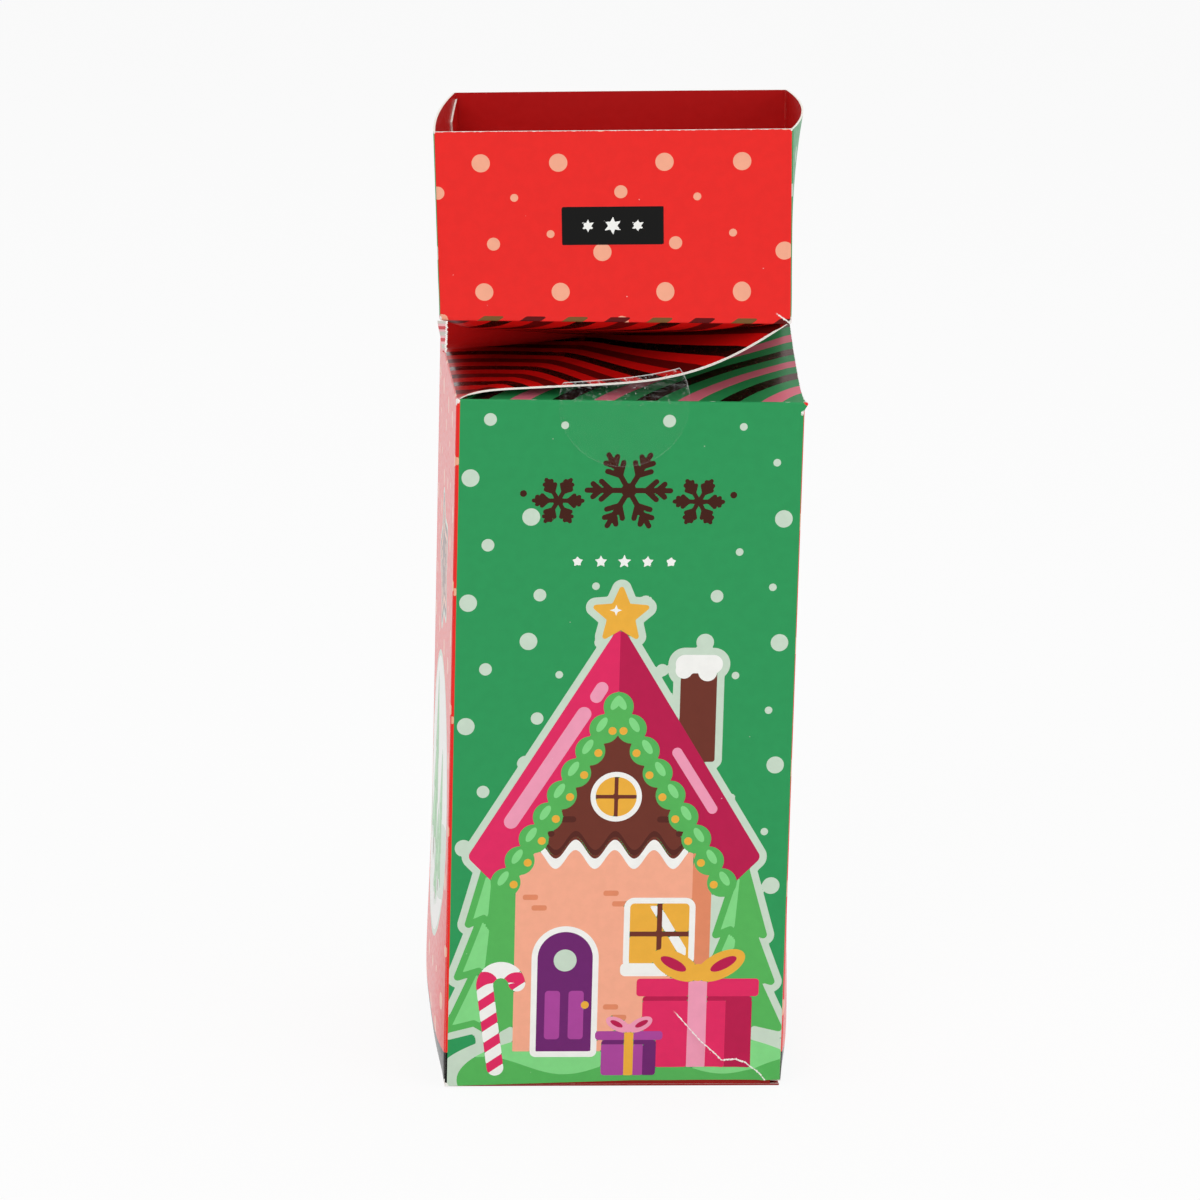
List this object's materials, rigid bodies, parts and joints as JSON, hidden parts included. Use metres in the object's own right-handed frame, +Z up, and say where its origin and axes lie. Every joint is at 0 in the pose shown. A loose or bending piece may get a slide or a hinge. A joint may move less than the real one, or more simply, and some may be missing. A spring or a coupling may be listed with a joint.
{
  "type": "christmas cracker",
  "caption": "Square folding-carton gift cracker with a tuck-end body, a striped neck twisted shut and an open flared end above it.",
  "frame": {"origin": "middle of the base, on the surface that it stands on", "axes": "+Z up along the carton, the decorated front panel looks along -Y, +X is the front panel's right"},
  "size_m": [0.088, 0.088, 0.2266],
  "materials": {
    "board_green": "gloss coated, pale dots",
    "board_red": "gloss coated, pale dots",
    "striped_green": "gloss coated, slanted stripes",
    "striped_red": "gloss coated, slanted stripes",
    "board_inside": "plain coated inside",
    "clear_film": "clear film"
  },
  "bodies": {
    "carton": {"body_front_panel": "board_green", "body_right_panel": "board_red", "body_back_panel": "board_green", "body_left_panel": "board_red", "body_glue_flap": "board_inside", "seal_body_half": "clear_film"},
    "neck_front_lower": {"neck_front_lower": "striped_green", "seal_neck_half": "clear_film"},
    "neck_front_upper": {"neck_front_upper": "striped_green"},
    "neck_right_lower": {"neck_right_lower": "striped_red"},
    "neck_right_upper": {"neck_right_upper": "striped_red"},
    "neck_back_lower": {"neck_back_lower": "striped_green"},
    "neck_back_upper": {"neck_back_upper": "striped_green"},
    "neck_left_lower": {"neck_left_lower": "striped_red"},
    "neck_left_upper": {"neck_left_upper": "striped_red"},
    "end": {"end_front_panel": "board_red", "end_right_panel": "board_green", "end_back_panel": "board_red", "end_left_panel": "board_green", "end_glue_flap": "board_inside"},
    "bottom_lid": {"bottom_lid": "board_inside"},
    "bottom_tuck_tab": {"bottom_tuck_tab": "board_inside"},
    "bottom_dust_flap_left": {"bottom_dust_flap_left": "board_inside"},
    "bottom_dust_flap_right": {"bottom_dust_flap_right": "board_inside"}
  },
  "joints": [
    {"name": "neck_front_fold", "type": "hinge", "parent": "carton", "child": "neck_front_lower", "pos_m": [0, -0.03955, 0.165], "axis": [1, 0, 0], "range_deg": [0, 72.79], "deforming": ["neck_front_upper", "neck_right_upper", "neck_back_upper", "neck_left_upper"]},
    {"name": "neck_front_crease", "type": "hinge", "parent": "neck_front_lower", "child": "neck_front_upper", "pos_m": [0.00196, -0.00217, 0.1743], "axis": [0.7331, 0.66, 0.1642], "range_deg": [-150.9, 0]},
    {"name": "neck_right_fold", "type": "hinge", "parent": "carton", "child": "neck_right_lower", "pos_m": [0.03955, 0, 0.165], "axis": [0, 1, 0], "range_deg": [0, 72.99]},
    {"name": "neck_right_crease", "type": "hinge", "parent": "neck_right_lower", "child": "neck_right_upper", "pos_m": [0.00217, 0.00196, 0.1743], "axis": [-0.66, 0.7331, 0.1642], "range_deg": [-150.9, 0]},
    {"name": "neck_back_fold", "type": "hinge", "parent": "carton", "child": "neck_back_lower", "pos_m": [0, 0.03955, 0.165], "axis": [-1, 0, 0], "range_deg": [0, 72.99]},
    {"name": "neck_back_crease", "type": "hinge", "parent": "neck_back_lower", "child": "neck_back_upper", "pos_m": [-0.00196, 0.00217, 0.1743], "axis": [-0.7331, -0.66, 0.1642], "range_deg": [-150.9, 0]},
    {"name": "neck_left_fold", "type": "hinge", "parent": "carton", "child": "neck_left_lower", "pos_m": [-0.03955, 0, 0.165], "axis": [0, -1, 0], "range_deg": [0, 72.99]},
    {"name": "neck_left_crease", "type": "hinge", "parent": "neck_left_lower", "child": "neck_left_upper", "pos_m": [-0.00217, -0.00196, 0.1743], "axis": [0.66, -0.7331, 0.1642], "range_deg": [-150.9, 0]},
    {"name": "end_turn", "type": "hinge", "parent": "neck_front_upper", "child": "end", "pos_m": [0.03933, -0.00413, 0.1836], "axis": [0.1045, 0.9945, 0], "range_deg": [0, 72.99]},
    {"name": "lid_hinge", "type": "hinge", "parent": "carton", "child": "bottom_lid", "pos_m": [0, 0.03955, 0.00045], "axis": [1, 0, 0], "range_deg": [0, 110]},
    {"name": "tuck_tab_hinge", "type": "hinge", "parent": "bottom_lid", "child": "bottom_tuck_tab", "pos_m": [0, -0.0388, 0.0006], "axis": [-1, 0, 0], "range_deg": [0, 72]},
    {"name": "dust_flap_left_hinge", "type": "hinge", "parent": "carton", "child": "bottom_dust_flap_left", "pos_m": [-0.03955, 0, 0.0012], "axis": [0, 1, 0], "range_deg": [0, 81]},
    {"name": "dust_flap_right_hinge", "type": "hinge", "parent": "carton", "child": "bottom_dust_flap_right", "pos_m": [0.03955, 0, 0.0012], "axis": [0, -1, 0], "range_deg": [0, 81]}
  ],
  "couplings": [
    {"joint": "neck_front_crease", "follows": "neck_front_fold", "ratio": -2.0676},
    {"joint": "neck_right_fold", "follows": "neck_front_fold", "ratio": 1},
    {"joint": "neck_right_crease", "follows": "neck_front_fold", "ratio": -2.0676},
    {"joint": "neck_back_fold", "follows": "neck_front_fold", "ratio": 1},
    {"joint": "neck_back_crease", "follows": "neck_front_fold", "ratio": -2.0676},
    {"joint": "neck_left_fold", "follows": "neck_front_fold", "ratio": 1},
    {"joint": "neck_left_crease", "follows": "neck_front_fold", "ratio": -2.0676},
    {"joint": "end_turn", "follows": "neck_front_fold", "ratio": 1},
    {"joint": "tuck_tab_hinge", "follows": "lid_hinge", "ratio": 0.65},
    {"joint": "dust_flap_left_hinge", "follows": "lid_hinge", "ratio": 0.73},
    {"joint": "dust_flap_right_hinge", "follows": "lid_hinge", "ratio": 0.73}
  ]
}
